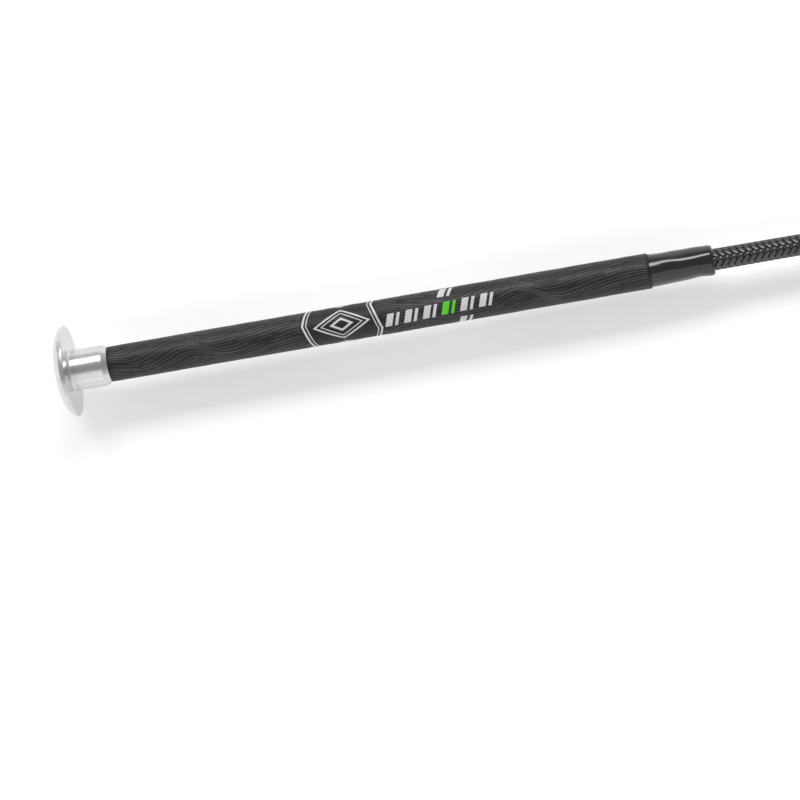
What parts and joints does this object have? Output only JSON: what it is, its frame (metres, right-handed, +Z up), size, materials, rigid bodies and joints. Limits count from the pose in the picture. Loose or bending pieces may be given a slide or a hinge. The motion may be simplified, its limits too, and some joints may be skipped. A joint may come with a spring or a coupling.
{
  "type": "riding whip",
  "caption": "Slim dressage riding whip with a metal mushroom cap, a patterned grip, a braided flexible shaft, a padded keeper and a knotted lash with a frayed end.",
  "frame": {"origin": "bottom centre of the whip without its lash, on the surface it lies on", "axes": "+X along the whip towards its tip, +Z up"},
  "size_m": [1.2459, 0.0403, 0.0358],
  "materials": {
    "cap_metal": "turned, satin",
    "plug": "raw",
    "tube": "resin bonded glass fibre",
    "bush": "moulded",
    "grip": "satin with a fine raised wave pattern",
    "rod": "resin bonded glass fibre",
    "yarn": "parallel yarns",
    "braid": "glossy nylon braid",
    "thread": "wound waxed thread",
    "collar": "glossy shrink sleeve",
    "lash": "matt braided cord",
    "fibre": "unravelled nylon fibre"
  },
  "bodies": {
    "handle": {"end_cap": "cap_metal", "cap_plug": "plug", "handle_tube": "tube", "rod_butt_bush": "bush", "rod_front_bush": "bush", "grip_sleeve": "grip", "braid_binding": "thread", "collar_sleeve": "collar", "core_rod": "rod", "shaft_filler": "yarn", "shaft_braid": "braid"},
    "tip": {"tip_cap": "bush", "keeper_padding": "yarn", "keeper_braid": "braid", "keeper_tail": "braid", "lash_hitch": "lash"},
    "lash": {"lash_cord": "lash"},
    "tassel": {"tassel": "fibre"}
  },
  "joints": [
    {"name": "shaft_flex", "type": "hinge", "parent": "handle", "child": "tip", "pos_m": [-0.00127, 0, 0.01065], "axis": [0, 0, 1], "range_deg": [-35, 35], "stiffness_Nm_per_rad": 1, "deforming": ["core_rod", "shaft_filler", "shaft_braid"]},
    {"name": "lash_swing", "type": "hinge", "parent": "tip", "child": "lash", "pos_m": [0.55469, -0.0034, 0.00142], "axis": [0, 0, 1], "range_deg": [-30, 80], "deforming": ["lash_cord"]},
    {"name": "tassel_swing", "type": "hinge", "parent": "lash", "child": "tassel", "pos_m": [0.67308, 0.0101, 0.00142], "axis": [0, 0, 1], "range_deg": [-45, 45]}
  ]
}
